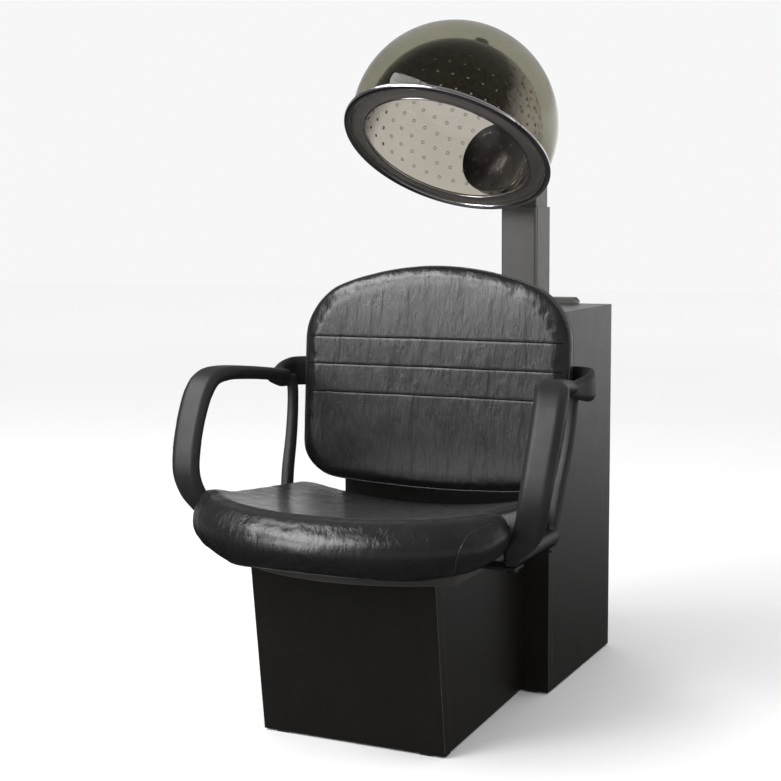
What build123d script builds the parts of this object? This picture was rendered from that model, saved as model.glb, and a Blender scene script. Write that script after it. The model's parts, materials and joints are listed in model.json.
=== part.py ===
from build123d import *
import os
from math import cos, sin, radians, pi

os.makedirs("parts", exist_ok=True)

# Frame: X to the sitter's left, Y to the rear, Z up, millimetres.
# The origin is on the floor under the middle of the whole object.

# ---- layout from front to rear ----
base_depth = 381.0
cabinet_depth = 360.0
base_front_y = -358.0                        # pedestal's front edge at the floor
cabinet_front_y = base_front_y + base_depth
cabinet_rear_y = cabinet_front_y + cabinet_depth
bracket_gap = 32.0                           # cabinet's rear face to the post tube

# ---- pedestal and cabinet, laminated board ----
cabinet_width = 417.0
cabinet_height = 700.0
base_front_width = 339.0
base_rear_width = 310.0
base_height = 296.0
base_lean = 37.0                             # the front panel's top stands this far forward
board = 18.0
front_board = 22.0
rear_board = 12.0
glide_height = 3.0
glide_half = 11.0
glide_inset = 35.0

# ---- seat ----
seat_board_thickness = 15.0
seat_board_half_width = 199.0
seat_board_top = base_height + seat_board_thickness
crossbar_thickness = 5.0
crossbar_top = seat_board_top + crossbar_thickness
cushion_bottom = crossbar_top + 0.5
cushion_height = 103.0
cushion_rear_height = 58.0
seat_front_y = base_front_y - 175.0
seat_rear_y = base_front_y + 290.0
roll_half_width = 292.0                      # the front roll is wider than the body behind it
roll_rear_y = base_front_y - 8.0
body_half_width = 244.0
crossbar_ys = (base_front_y + 62.0, base_front_y + 226.0)
crossbar_half = 20.0
arm_bolt_x = 262.0

# ---- back rest ----
back_half_width = 265.0
back_wrap_radius = 3000.0                    # the sides curve forward round the sitter
back_cushion_thickness = 36.0
back_board_thickness = 9.0
back_bottom = 374.0
back_top = 787.0
back_lean = 4.0                              # degrees
back_rear_y = base_front_y + 358.0           # rear of the back board at its bottom edge
back_top_bow = 66.0
back_bottom_bow = 18.0
back_top_corner = 62.0
back_bottom_corner = 48.0
back_board_inset = 14.0

# ---- post ----
post_width = 76.0
post_depth = 78.0
post_wall = 3.0
post_front_y = cabinet_rear_y + bracket_gap
post_rear_y = post_front_y + post_depth
post_mid_y = (post_front_y + post_rear_y) / 2
post_bottom = 100.0
post_top = 895.0
cover_gap = 4.0
cover_thickness = 6.0
slide_clearance = 1.5
liner_gap = 0.3
inner_bottom = 520.0
inner_top = 945.0
lock_knob_z = 760.0
lock_screw_radius = 5.0
gland_radius = 7.0
gland_z = post_bottom + 45.0
knob_rear_y = -seat_front_y                  # the knob and the seat end equally far out

# ---- head on top of the post ----
swivel_y = post_mid_y
swivel_angle = -9.0                          # the hood faces a little to one side at rest
head_plate = 8.0
spindle_radius = 10.0
pivot_forward = 12.0
pivot_z = 985.0
pivot_radius = 6.0
running_gap = 0.06
yoke_ear_inner = 19.0
yoke_ear = 6.0
barrel_radius = 14.0

# ---- hood, in its own frame: rim plane at z = 0, dome towards +z, +y to the post ----
rim_reach = 310.8                            # swivel axis to the rim's centre
rim_z = 1003.0
hood_tilt = 32.4                             # degrees, opening turned to the front
bead_radius = 6.0
bead_ring_radius = 200.0
shell_radius = 200.0
shell_centre = 53.0
shell_wall = 2.5
bowl_radius = 171.0
bowl_centre = 47.0
bowl_wall = 2.0
collar_half = 1.5
collar_inner = 162.5
collar_outer = 194.6
hole_radius = 2.5
hole_rows = 10
hole_pitch = 28.6
blower_rise = 14.0                           # blower axis above the rim plane, degrees
cover_radius = 71.0
cover_wall = 2.5
cover_gap_to_bowl = 1.0
cover_windows = 16
shell_port_radius = 56.0
housing_radius = 62.0
housing_wall = 3.0
housing_end = 224.0                          # distances along the blower axis
motor_start = 198.0
motor_radius = 30.0
shaft_radius = 4.0
impeller_start = 177.0
impeller_radius = 46.0
impeller_depth = 15.0
blade_count = 18
heater_ring_radius = 57.0
heater_coil_radius = 4.0
heater_plane = 180.0
dial_offset = 40.0
dial_stem_radius = 3.0
spacer_polar = 20.0                          # the dark spacer on the bowl, from the crown
spacer_turn = -55.0
spacer_radius = 19.0
spacer_height = 10.0


upward = (Align.CENTER, Align.CENTER, Align.MIN)


def box(x0, x1, y0, y1, z0, z1):
    """A block between two corners."""
    middle = ((x0 + x1) / 2, (y0 + y1) / 2, (z0 + z1) / 2)
    return Pos(*middle) * Box(x1 - x0, y1 - y0, z1 - z0)


def rod(start, direction, radius, length):
    """A cylinder that runs from a start point along a direction."""
    plane = Plane(origin=start, z_dir=direction)
    return plane * Cylinder(radius, length, align=upward)


def profile_x(points, half_width):
    """A prism across X from a list of (y, z) corners."""
    face = Plane.YZ * make_face(Polyline(*points, close=True))
    return extrude(face, half_width, both=True)


def save(name, *solids):
    """Write one node as STEP, one or more separate solids."""
    pieces = []
    for solid in solids:
        pieces.extend(solid.solids())
    shape = pieces[0] if len(pieces) == 1 else Compound(children=pieces)
    export_step(shape, f"parts/{name}.step")


# ---------------------------------------------------------------- pedestal and cabinet

def front_y(z):
    """The pedestal's leaning front face at a height."""
    return base_front_y - base_lean * z / base_height


def base_front_panel():
    corners = [(front_y(glide_height), glide_height), (front_y(glide_height) + front_board, glide_height),
               (front_y(base_height) + front_board, base_height), (front_y(base_height), base_height)]
    return profile_x(corners, base_front_width / 2)


def base_side_panel(side):
    """A tapering side wall between the front panel and the cabinet."""
    front_x = base_front_width / 2
    rear_x = base_rear_width / 2
    near_y = front_y(base_height)
    footprint = Polyline((side * front_x, near_y), (side * rear_x, cabinet_front_y),
                         (side * (rear_x - board), cabinet_front_y), (side * (front_x - board), near_y),
                         close=True)
    wall = extrude(make_face(footprint), base_height - glide_height)
    wall = Pos(0, 0, glide_height) * wall
    keep = [(front_y(glide_height) + front_board, glide_height), (cabinet_front_y, glide_height),
            (cabinet_front_y, base_height), (front_y(base_height) + front_board, base_height)]
    return wall & profile_x(keep, base_front_width)


def base_cleats():
    """Rails under the seat board, screwed inside the side walls."""
    rails = []
    for side in (-1, 1):
        x0 = side * (base_rear_width / 2 - board - 1)
        x1 = x0 - side * 24
        rails.append(box(min(x0, x1), max(x0, x1), base_front_y + 20, cabinet_front_y - 10,
                         base_height - 40, base_height))
    return rails


def build_cabinet():
    half = cabinet_width / 2
    y0 = cabinet_front_y
    y1 = cabinet_rear_y
    save("cabinet_front_panel", box(-half, half, y0, y0 + front_board, glide_height, cabinet_height))
    for name, side in (("left", 1), ("right", -1)):
        xs = sorted((side * half, side * (half - board)))
        save(f"cabinet_{name}_panel",
             box(xs[0], xs[1], y0 + front_board, y1 - rear_board, glide_height, cabinet_height))
    inner = half - board
    save("cabinet_top_panel",
         box(-inner, inner, y0 + front_board, y1 - rear_board, cabinet_height - board, cabinet_height))
    floor_z = 60
    save("cabinet_floor_panel",
         box(-inner, inner, y0 + front_board, y1 - rear_board, floor_z, floor_z + board))
    save("cabinet_rear_panel", box(-half, half, y1 - rear_board, y1, glide_height, cabinet_height))
    blocks = []
    for side in (-1, 1):
        xs = sorted((side * inner, side * (inner - 30)))
        for y in (y0 + front_board, y1 - rear_board - 30):
            blocks.append(box(xs[0], xs[1], y, y + 30, floor_z + board, cabinet_height - board))
    save("cabinet_corner_posts", *blocks)


def build_pedestal():
    save("pedestal_front_panel", base_front_panel())
    save("pedestal_left_panel", base_side_panel(1))
    save("pedestal_right_panel", base_side_panel(-1))
    save("pedestal_cleats", *base_cleats())
    glides = []
    for side in (-1, 1):
        base_x = side * (base_front_width / 2 - glide_inset)
        cabinet_x = side * (cabinet_width / 2 - glide_inset)
        for x, near, width in ((base_x, base_front_y, front_board), (cabinet_x, cabinet_front_y, front_board),
                               (cabinet_x, cabinet_rear_y - rear_board, rear_board)):
            glides.append(box(x - glide_half, x + glide_half, near + 1, near + width - 1, 0, glide_height))
    save("floor_glides", *glides)


# ---------------------------------------------------------------- seat, back and arms

def bowed_outline(half, front, corner, rear, bow):
    """A seat outline: straight sides, a bowed front edge and rounded front corners."""
    side_front = front + bow
    left = Line((-half, rear), (-half, side_front))
    edge = ThreePointArc((-half, side_front), (0, front), (half, side_front))
    right = Line((half, side_front), (half, rear))
    back = Line((half, rear), (-half, rear))
    face = make_face([left, edge, right, back])
    return fillet(face.vertices(), corner)


def seat_board():
    outline = bowed_outline(seat_board_half_width, base_front_y - 88, 12, base_front_y + 330, 66)
    return Pos(0, 0, base_height) * extrude(outline, seat_board_thickness)


def arm_crossbars():
    """Flat steel bars on the seat board that carry both arms."""
    bars = []
    half = arm_bolt_x + 10
    for y in crossbar_ys:
        bars.append(box(-half, half, y - crossbar_half, y + crossbar_half, seat_board_top, crossbar_top))
    return bars


def seat_cushion():
    """Wide front roll, narrower body between the arms, top sinking to the rear."""
    roll = bowed_outline(roll_half_width, seat_front_y, 32, roll_rear_y, 100)
    body = bowed_outline(body_half_width, seat_front_y + 20, 30, seat_rear_y, 60)
    outline = roll + body
    cushion = extrude(outline, cushion_height)
    flat_ends = cushion.faces().filter_by(Axis.Z)
    cushion = fillet(flat_ends.edges(), 14)
    slope = [(seat_front_y + 70, cushion_height + 1), (seat_rear_y + 1, cushion_rear_height),
             (seat_rear_y + 1, cushion_height + 1)]
    return Pos(0, 0, cushion_bottom) * (cushion - profile_x(slope, 400))


def back_outline(shrink):
    half = back_half_width - shrink
    low = back_bottom + shrink
    high = back_top - shrink
    side_low = low + back_bottom_bow
    side_high = high - back_top_bow
    bottom = ThreePointArc((-half, side_low), (0, low), (half, side_low))
    right = Line((half, side_low), (half, side_high))
    top = ThreePointArc((half, side_high), (0, high), (-half, side_high))
    left = Line((-half, side_high), (-half, side_low))
    face = make_face([bottom, right, top, left])
    face = fillet(face.vertices().sort_by(Axis.Y)[2:], back_top_corner)
    return fillet(face.vertices().sort_by(Axis.Y)[:2], back_bottom_corner)


def back_layer(shrink, near, far):
    """A slice of the back rest between two distances in front of its rear face."""
    reach = 600
    outline = Plane.XZ.offset(-reach) * back_outline(shrink)
    block = extrude(outline, 2 * reach)
    outer = Cylinder(back_wrap_radius - near, 4 * reach)
    inner = Cylinder(back_wrap_radius - far, 4 * reach)
    ring = Pos(0, back_rear_y - back_wrap_radius, 0) * (outer - inner)
    layer = block & ring
    hinge = (0, back_rear_y, back_bottom)
    return Pos(*hinge) * Rot(-back_lean, 0, 0) * Pos(0, -back_rear_y, -back_bottom) * layer


def ribbon(points, sizes, across):
    """A bar through a few points, each with its own rounded section."""
    sections = []
    last = len(points) - 1
    for i, point in enumerate(points):
        before = Vector(*points[max(i - 1, 0)])
        after = Vector(*points[min(i + 1, last)])
        along = (after - before).normalized()
        side = Vector(*across)
        side = (side - along * side.dot(along)).normalized()
        width, thickness = sizes[i]
        plane = Plane(origin=point, x_dir=side, z_dir=along)
        sections.append(plane * RectangleRounded(width, thickness, thickness * 0.3))
    return loft(sections, ruled=True)


def arm():
    """The sitter's left arm, a closed loop of moulded urethane."""
    y0 = base_front_y
    bar_z = crossbar_top + 15
    rest = ribbon(
        [(264, y0 + 48, bar_z - 3), (277, y0 + 38, 350), (297, y0 + 26, 372), (313, y0 + 10, 400),
         (320, y0 + 2, 430), (323, y0 + 5, 460), (325, y0 + 17, 500), (326, y0 + 35, 540), (325, y0 + 54, 573),
         (320, y0 + 76, 594), (309, y0 + 108, 601), (298, y0 + 165, 597), (289, y0 + 230, 589),
         (285, y0 + 290, 581)],
        [(28, 22), (38, 24), (44, 24), (46, 23), (50, 22), (52, 22), (53, 22), (54, 23), (55, 25),
         (55, 26), (52, 25), (46, 24), (36, 23), (24, 22)],
        (1, 0, 0))
    ear = ribbon(
        [(289, y0 + 262, 580), (303, y0 + 304, 580), (298, y0 + 342, 583), (268, y0 + 370, 583),
         (222, y0 + 374.5, 582)],
        [(28, 17), (46, 19), (55, 18), (54, 13), (48, 11)],
        (0, 0, 1))
    rear = ribbon(
        [(281, y0 + 298, 580), (278, y0 + 303, 556), (276, y0 + 297, 510), (272, y0 + 283, 460),
         (268, y0 + 264, 410), (264, y0 + 250, 360), (264, y0 + 244, bar_z - 10)],
        [(22, 22), (19, 21), (20, 20), (21, 21), (22, 22), (22, 23), (22, 26)],
        (1, 0, 0))
    bar = box(253, 275, y0 + 34, y0 + 256, crossbar_top, crossbar_top + 24)
    bar = fillet(bar.edges().filter_by(Axis.Y), 6)
    whole = rest + ear + rear + bar
    below = box(150, 400, y0 - 50, y0 + 400, 0, crossbar_top)
    return whole - below


def arm_bolts():
    bolts = []
    for side in (-1, 1):
        for y in crossbar_ys:
            bolts.append(rod((side * arm_bolt_x, y, seat_board_top - 6), (0, 0, 1), 8, 6))
    return bolts


def build_chair():
    save("seat_board", seat_board())
    save("arm_crossbars", *arm_crossbars())
    save("arm_bolts", *arm_bolts())
    save("seat_cushion", seat_cushion())
    save("back_board", back_layer(back_board_inset, 0, back_board_thickness))
    save("back_cushion", back_layer(0, back_board_thickness, back_board_thickness + back_cushion_thickness))
    left = arm()
    save("arm_left", left)
    save("arm_right", mirror(left, about=Plane.YZ))


# ---------------------------------------------------------------- post

def rect_tube(half_x, y0, y1, wall, z0, z1):
    outer = box(-half_x, half_x, y0, y1, z0, z1)
    outer = fillet(outer.edges().filter_by(Axis.Z), wall)
    return outer - box(-half_x + wall, half_x - wall, y0 + wall, y1 - wall, z0 - 1, z1 + 1)


def build_post():
    half = post_width / 2
    lock_hole = rod((0, post_rear_y - 20, lock_knob_z), (0, 1, 0), lock_screw_radius + running_gap, 60)
    gland_hole = rod((0, post_rear_y - 20, gland_z), (0, 1, 0), gland_radius + running_gap, 60)
    tube = rect_tube(half, post_front_y, post_rear_y, post_wall, post_bottom, post_top)
    save("post_tube", tube - lock_hole - gland_hole)
    plug = box(-half, half, post_front_y, post_rear_y, post_bottom - 4, post_bottom)
    plug = fillet(plug.edges().filter_by(Axis.Z), post_wall)
    inner = half - post_wall
    plug += box(-inner, inner, post_front_y + post_wall, post_rear_y - post_wall, post_bottom, post_bottom + 15)
    save("post_end_plug", plug)

    cover_rear = post_front_y - cover_gap
    plate = box(-half, half, cover_rear - cover_thickness, cover_rear, cabinet_height + 16, post_top - 2)
    plate = fillet(plate.edges().filter_by(Axis.Z).group_by(Axis.Y)[0], 4)
    rib = box(-half + 6, half - 6, cover_rear, post_front_y, cabinet_height + 16, post_top - 2)
    save("post_front_cover", plate + rib)

    slide_half = inner - slide_clearance
    slide_y0 = post_front_y + post_wall + slide_clearance
    slide_y1 = post_rear_y - post_wall - slide_clearance
    save("inner_post", rect_tube(slide_half, slide_y0, slide_y1, 2.5, inner_bottom, inner_top))

    liners = []
    for z in (post_top - 44, inner_bottom + 4):
        ring = box(-inner, inner, post_front_y + post_wall, post_rear_y - post_wall, z, z + 40)
        ring -= box(-slide_half - liner_gap, slide_half + liner_gap, slide_y0 - liner_gap, slide_y1 + liner_gap,
                    z - 1, z + 41)
        liners.append(ring)
    save("slide_liners", *liners)

    boss = rod((0, post_rear_y, lock_knob_z), (0, 1, 0), 13, 8)
    save("lock_boss", boss - lock_hole)
    stud = knob_rear_y - (post_rear_y - post_wall) + 0.5
    save("height_lock_knob",
         star_knob((0, knob_rear_y, lock_knob_z), (0, -1, 0), 24, 26, lock_screw_radius, stud))
    gland = rod((0, post_rear_y, gland_z), (0, 1, 0), 11, 6) + rod((0, post_rear_y, gland_z), (0, 1, 0), 8, 18)
    gland += rod((0, post_rear_y - post_wall, gland_z), (0, 1, 0), gland_radius, post_wall)
    save("cord_gland", gland - rod((0, post_rear_y - 10, gland_z), (0, 1, 0), 4, 40))


def star_knob(start, inward, radius, depth, screw_radius, reach):
    """A fluted hand knob with its threaded stud."""
    head = rod(start, inward, radius, depth)
    head = fillet(head.edges(), 3)
    plane = Plane(origin=start, z_dir=inward)
    for i in range(6):
        angle = radians(60 * i)
        spot = plane.from_local_coords((1.22 * radius * cos(angle), 1.22 * radius * sin(angle), -1))
        head -= rod(spot, inward, radius * 0.42, depth + 2)
    return head + rod(start, inward, screw_radius, reach)


def build_brackets():
    y0 = cabinet_rear_y
    block = box(-34, 34, y0, post_front_y, cabinet_height - 62, cabinet_height)
    flange = box(-100, 100, y0, y0 + 5, cabinet_height - 62, cabinet_height)
    bar = box(-137, 137, y0 - 16, y0 + 14, cabinet_height, cabinet_height + 12)
    bar = chamfer(bar.edges().filter_by(Axis.Y).group_by(Axis.Z)[-1], 7)
    save("upper_bracket", block + flange + bar)
    low = 130
    block = box(-34, 34, y0, post_front_y, low, low + 60)
    flange = box(-100, 100, y0, y0 + 5, low, low + 60)
    save("lower_bracket", block + flange)
    bolts = []
    for z in (cabinet_height - 31, low + 30):
        for x in (-82, -58, 58, 82):
            bolts.append(rod((x, y0 + 5, z), (0, 1, 0), 7, 5))
    save("bracket_bolts", *bolts)
    screws = []
    for side in (-1, 1):
        for z in (40, 250, 440, 590):
            screws.append(rod((side * (cabinet_width / 2 - 12), y0, z), (0, 1, 0), 4.5, 2))
    save("rear_panel_screws", *screws)


# ---------------------------------------------------------------- head: swivel and tilt

def swivelled(shape):
    """Turn a shape about the post to the hood's rest direction."""
    return Pos(0, swivel_y, 0) * Rot(0, 0, swivel_angle) * Pos(0, -swivel_y, 0) * shape


pivot_y = swivel_y - pivot_forward
hood_frame = Pos(0, swivel_y - rim_reach, rim_z) * Rot(-hood_tilt, 0, 0)
bowl_point = Vector(0, 0, bowl_centre)
blower_dir = Vector(0, cos(radians(blower_rise)), sin(radians(blower_rise)))


def build_head():
    slide_half = post_width / 2 - post_wall - slide_clearance
    slide_y0 = post_front_y + post_wall + slide_clearance
    slide_y1 = post_rear_y - post_wall - slide_clearance
    wall = 2.5
    cap = box(-slide_half, slide_half, slide_y0, slide_y1, inner_top, inner_top + head_plate)
    cap = fillet(cap.edges().filter_by(Axis.Z), wall)
    inside = slide_half - wall
    cap += box(-inside, inside, slide_y0 + wall, slide_y1 - wall, inner_top - 20, inner_top)
    socket = rod((0, swivel_y, inner_top - 30), (0, 0, 1), spindle_radius + running_gap, 60)
    save("swivel_socket", cap - socket)

    base_z = inner_top + head_plate + 0.5
    spindle = rod((0, swivel_y, inner_top - 18), (0, 0, 1), spindle_radius, base_z - inner_top + 18)
    save("swivel_spindle", swivelled(spindle))

    ear_outer = yoke_ear_inner + yoke_ear
    yoke = rod((0, swivel_y, base_z), (0, 0, 1), 30, 7)
    for side in (-1, 1):
        xs = sorted((side * yoke_ear_inner, side * ear_outer))
        yoke += box(xs[0], xs[1], pivot_y - barrel_radius, swivel_y + 12, base_z, pivot_z)
        yoke += rod((xs[0], pivot_y, pivot_z), (1, 0, 0), barrel_radius, yoke_ear)
    bore = rod((-60, pivot_y, pivot_z), (1, 0, 0), pivot_radius, 120)
    save("swivel_yoke", swivelled(yoke - bore))

    pin = rod((-ear_outer - 4, pivot_y, pivot_z), (1, 0, 0), pivot_radius, 2 * ear_outer + 4)
    pin += rod((ear_outer, pivot_y, pivot_z), (1, 0, 0), 10, 5)
    save("tilt_pin", swivelled(pin))
    knob = star_knob((-ear_outer - 24, pivot_y, pivot_z), (1, 0, 0), 17, 18, pivot_radius, 18)
    recess = rod((-ear_outer - 5, pivot_y, pivot_z), (1, 0, 0), pivot_radius + running_gap, 6)
    save("tilt_lock_knob", swivelled(knob - recess))

    flange_start = bowl_point + blower_dir * housing_end
    flange = hood_frame * rod(flange_start, blower_dir, 24, 6)
    barrel = rod((-yoke_ear_inner + 0.5, pivot_y, pivot_z), (1, 0, 0), barrel_radius, 2 * yoke_ear_inner - 1)
    rear = hood_frame * Pos(*(bowl_point + blower_dir * (housing_end + 3)))
    start = rear.position
    web = [(start.Y, start.Z - 8), (start.Y, start.Z + 18), (pivot_y, pivot_z + 12), (pivot_y, pivot_z - 10)]
    arm_plate = profile_x(web, 10)
    under = hood_frame * rod(bowl_point + blower_dir * (housing_end - 40), blower_dir, 60, 40)
    tilt_arm = flange + barrel + (arm_plate - under)
    bore = rod((-60, pivot_y, pivot_z), (1, 0, 0), pivot_radius + running_gap, 120)
    save("tilt_arm", swivelled(tilt_arm - bore))


# ---------------------------------------------------------------- hood

def along_blower(distance):
    return bowl_point + blower_dir * distance


def disc(start, radius, length):
    """A cylinder on the blower's axis."""
    return rod(along_blower(start), blower_dir, radius, length)


def on_bowl(polar, turn, radius):
    """A point on a sphere about the bowl's centre."""
    flat = radius * sin(polar)
    return Vector(flat * cos(turn), flat * sin(turn), bowl_centre + radius * cos(polar))


def bowl_holes():
    """Air holes in staggered rings about the crown."""
    cutters = []
    for row in range(1, hole_rows + 1):
        polar = row * hole_pitch / bowl_radius
        count = round(2 * pi * bowl_radius * sin(polar) / hole_pitch)
        for i in range(count):
            turn = 2 * pi * (i + 0.5 * (row % 2)) / count
            outward = (on_bowl(polar, turn, 1) - bowl_point).normalized()
            cutters.append(rod(on_bowl(polar, turn, bowl_radius - 8), outward, hole_radius, 16))
    return cutters


def blower_cover():
    """The black drum between the shells, with air windows in its side wall."""
    front = Pos(0, 0, bowl_centre) * Sphere(bowl_radius + cover_gap_to_bowl)
    inside = Pos(0, 0, bowl_centre) * Sphere(bowl_radius + cover_gap_to_bowl + cover_wall)
    dome = Pos(0, 0, shell_centre) * Sphere(shell_radius - shell_wall)
    solid = (disc(100, cover_radius, 120) & dome) - front
    hollow = disc(100, cover_radius - cover_wall, 140) - inside
    cover = solid - hollow
    plane = Plane(origin=along_blower(heater_plane), x_dir=(1, 0, 0), z_dir=blower_dir)
    for i in range(cover_windows):
        cover -= plane * (Rot(0, 0, 360 * i / cover_windows) * Pos(cover_radius, 0, -8) * Box(12, 12, 8))
    return cover


def build_hood():
    def place(*shapes):
        return [swivelled(hood_frame * shape) for shape in shapes]

    lid = Pos(0, 0, -400 + collar_half) * Box(900, 900, 800)
    shell = Pos(0, 0, shell_centre) * (Sphere(shell_radius) - Sphere(shell_radius - shell_wall))
    save("outer_shell", *place(shell - lid - disc(150, shell_port_radius, 80)))

    bowl = Pos(0, 0, bowl_centre) * (Sphere(bowl_radius) - Sphere(bowl_radius - bowl_wall))
    bowl = bowl - lid - bowl_holes()
    save("inner_bowl", *place(bowl))

    collar = Cylinder(collar_outer, 2 * collar_half) - Cylinder(collar_inner, 8 * collar_half)
    save("rim_collar", *place(collar))
    save("rim_ring", *place(Torus(bead_ring_radius, bead_radius) - collar))

    spot = on_bowl(radians(spacer_polar), radians(spacer_turn), bowl_radius - 3)
    outward = (spot - bowl_point).normalized()
    spacer = Plane(origin=spot, z_dir=outward) * Cone(spacer_radius, 12, 3 + spacer_height, align=upward)
    spacer -= Pos(0, 0, bowl_centre) * Sphere(bowl_radius + running_gap)
    save("bowl_spacer", *place(spacer))
    save("blower_cover", *place(blower_cover()))

    save("blower_housing", *place(blower_housing()))
    motor = disc(motor_start, motor_radius, housing_end - housing_wall - motor_start)
    motor += disc(motor_start - 4, 9, 4)
    motor -= disc(motor_start - 10, shaft_radius + running_gap, 28)
    save("blower_motor", *place(motor))
    save("motor_shaft", *place(disc(impeller_start, shaft_radius, motor_start + 16 - impeller_start)))
    save("impeller", *place(impeller()))

    plane = Plane(origin=along_blower(heater_plane), x_dir=(1, 0, 0), z_dir=blower_dir)
    save("heater_coil", *place(plane * Torus(heater_ring_radius, heater_coil_radius)))
    band_inner = heater_ring_radius + heater_coil_radius + running_gap
    band = disc(heater_plane - 7, band_inner + 2.5, 13) - disc(heater_plane - 8, band_inner, 16)
    save("heater_band", *place(band))
    x_dir = plane.x_dir
    stat = rod(along_blower(housing_end - housing_wall) + x_dir.cross(blower_dir) * 45, blower_dir * -1, 7, 6)
    save("thermostat", *place(stat))

    for name, side, radius in (("timer_knob", 1, 11.5), ("heat_knob", -1, 9.5)):
        spot = along_blower(housing_end + 0.4) + x_dir * (side * dial_offset)
        knob = fillet(rod(spot, blower_dir, radius, 13).edges().sort_by_distance(along_blower(300))[0], 2)
        pointer_plane = Plane(origin=spot, x_dir=x_dir, z_dir=blower_dir)
        pointer = pointer_plane * (Pos(0, 0, 13) * Box(3, 2 * radius - 3, 3, align=upward))
        stem = rod(spot - blower_dir * (housing_wall + 1.5), blower_dir, dial_stem_radius, 6)
        save(name, *place(knob + pointer + stem))
    screws = []
    normal = x_dir.cross(blower_dir)
    for a in (50, 130, 230, 310):
        spot = along_blower(housing_end) + (x_dir * cos(radians(a)) + normal * sin(radians(a))) * 50
        screws.append(rod(spot, blower_dir, 3.5, 2))
    save("housing_screws", *place(*screws))


def blower_housing():
    """The drum behind the dome that holds the motor, with intake slots in its rear wall."""
    drum = disc(170, housing_radius, housing_end - 170)
    drum -= disc(160, housing_radius - housing_wall, housing_end - housing_wall - 160)
    drum -= Pos(0, 0, shell_centre) * Sphere(shell_radius)
    plane = Plane(origin=along_blower(housing_end - housing_wall - 1), x_dir=(1, 0, 0), z_dir=blower_dir)
    for side in (-1, 1):
        for row in range(3):
            slot = Pos(0, side * (30 + 7.5 * row), 0) * Box(44 - 10 * row, 3.5, 8, align=upward)
            drum -= plane * slot
        drum -= plane * (Pos(side * dial_offset, 0, 0) * Cylinder(dial_stem_radius + 0.08, 12))
    return drum


def impeller():
    """A centrifugal wheel: back plate, hub and forward-swept blades."""
    plane = Plane(origin=along_blower(impeller_start), z_dir=blower_dir)
    wheel = Pos(0, 0, impeller_depth - 2) * Cylinder(impeller_radius, 2, align=upward)
    wheel += Cylinder(9, impeller_depth, align=upward)
    blade = Pos(impeller_radius - 15, 0, 0) * Rot(0, 0, 35) * Box(20, 1.6, impeller_depth - 1, align=upward)
    for i in range(blade_count):
        wheel += Rot(0, 0, 360 * i / blade_count) * blade
    wheel -= Pos(0, 0, -1) * Cylinder(shaft_radius, impeller_depth + 4, align=upward)
    return plane * wheel


build_cabinet()
build_pedestal()
build_chair()
build_post()
build_brackets()
build_head()
build_hood()
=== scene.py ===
import json
import math

import bmesh
import bpy
import numpy as np
from mathutils import Matrix, Vector
from mathutils.bvhtree import BVHTree


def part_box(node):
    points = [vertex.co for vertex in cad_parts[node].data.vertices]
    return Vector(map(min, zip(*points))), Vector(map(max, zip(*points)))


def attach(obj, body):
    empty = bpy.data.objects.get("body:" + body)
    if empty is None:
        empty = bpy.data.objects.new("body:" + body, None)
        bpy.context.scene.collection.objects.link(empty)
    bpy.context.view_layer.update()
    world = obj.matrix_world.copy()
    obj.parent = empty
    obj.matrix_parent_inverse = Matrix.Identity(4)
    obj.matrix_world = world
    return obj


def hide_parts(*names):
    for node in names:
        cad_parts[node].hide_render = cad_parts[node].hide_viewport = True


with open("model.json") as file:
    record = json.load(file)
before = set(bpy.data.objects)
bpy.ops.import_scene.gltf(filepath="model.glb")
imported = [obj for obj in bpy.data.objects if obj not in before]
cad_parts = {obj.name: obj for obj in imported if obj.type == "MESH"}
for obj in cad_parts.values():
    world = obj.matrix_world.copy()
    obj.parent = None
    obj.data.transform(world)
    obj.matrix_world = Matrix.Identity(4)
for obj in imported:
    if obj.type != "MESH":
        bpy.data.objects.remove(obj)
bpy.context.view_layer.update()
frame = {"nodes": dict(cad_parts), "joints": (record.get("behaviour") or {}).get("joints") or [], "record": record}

# ---------------------------------------------------------------- places read from the frame

nodes = frame["nodes"]
PEDESTAL_DEPTH = 0.381
base_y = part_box("cabinet_front_panel")[0].y - PEDESTAL_DEPTH      # pedestal's front edge at the floor
seat_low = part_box("seat_cushion")[0]
seat_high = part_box("seat_cushion")[1]
back_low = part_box("back_cushion")[0]
back_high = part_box("back_cushion")[1]
BACK_REAR = 0.358
back_rear_y = base_y + BACK_REAR
BACK_WRAP = 3.0
BACK_LEAN = math.tan(math.radians(4.0))


# ---------------------------------------------------------------- camera

CAMERA_YAW, CAMERA_PITCH, CAMERA_ROLL = 25.884, 6.53, -0.34
CAMERA_PLACE = (1.1066, base_y - 2.1269, 0.8683)
CAMERA_LENS, CAMERA_SENSOR, CAMERA_REACH = 68.38, 36, 60


def add_camera():
    """From the front and to the sitter's left, a little above the seat."""
    yaw, pitch, roll = (math.radians(a) for a in (CAMERA_YAW, CAMERA_PITCH, CAMERA_ROLL))
    back = Vector((math.sin(yaw) * math.cos(pitch), -math.cos(yaw) * math.cos(pitch), math.sin(pitch)))
    right = Vector((math.cos(yaw), math.sin(yaw), 0))
    up = right.cross(-back)
    x_axis = right * math.cos(roll) + up * math.sin(roll)
    y_axis = up * math.cos(roll) - right * math.sin(roll)
    data = bpy.data.cameras.new("camera")
    data.sensor_width = CAMERA_SENSOR
    data.lens = CAMERA_LENS
    data.clip_end = CAMERA_REACH
    camera = bpy.data.objects.new("camera", data)
    place = Matrix((x_axis, y_axis, back)).transposed().to_4x4()
    place.translation = Vector(CAMERA_PLACE)
    camera.matrix_world = place
    bpy.context.scene.collection.objects.link(camera)
    bpy.context.scene.camera = camera


# ---------------------------------------------------------------- shader helpers

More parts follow.
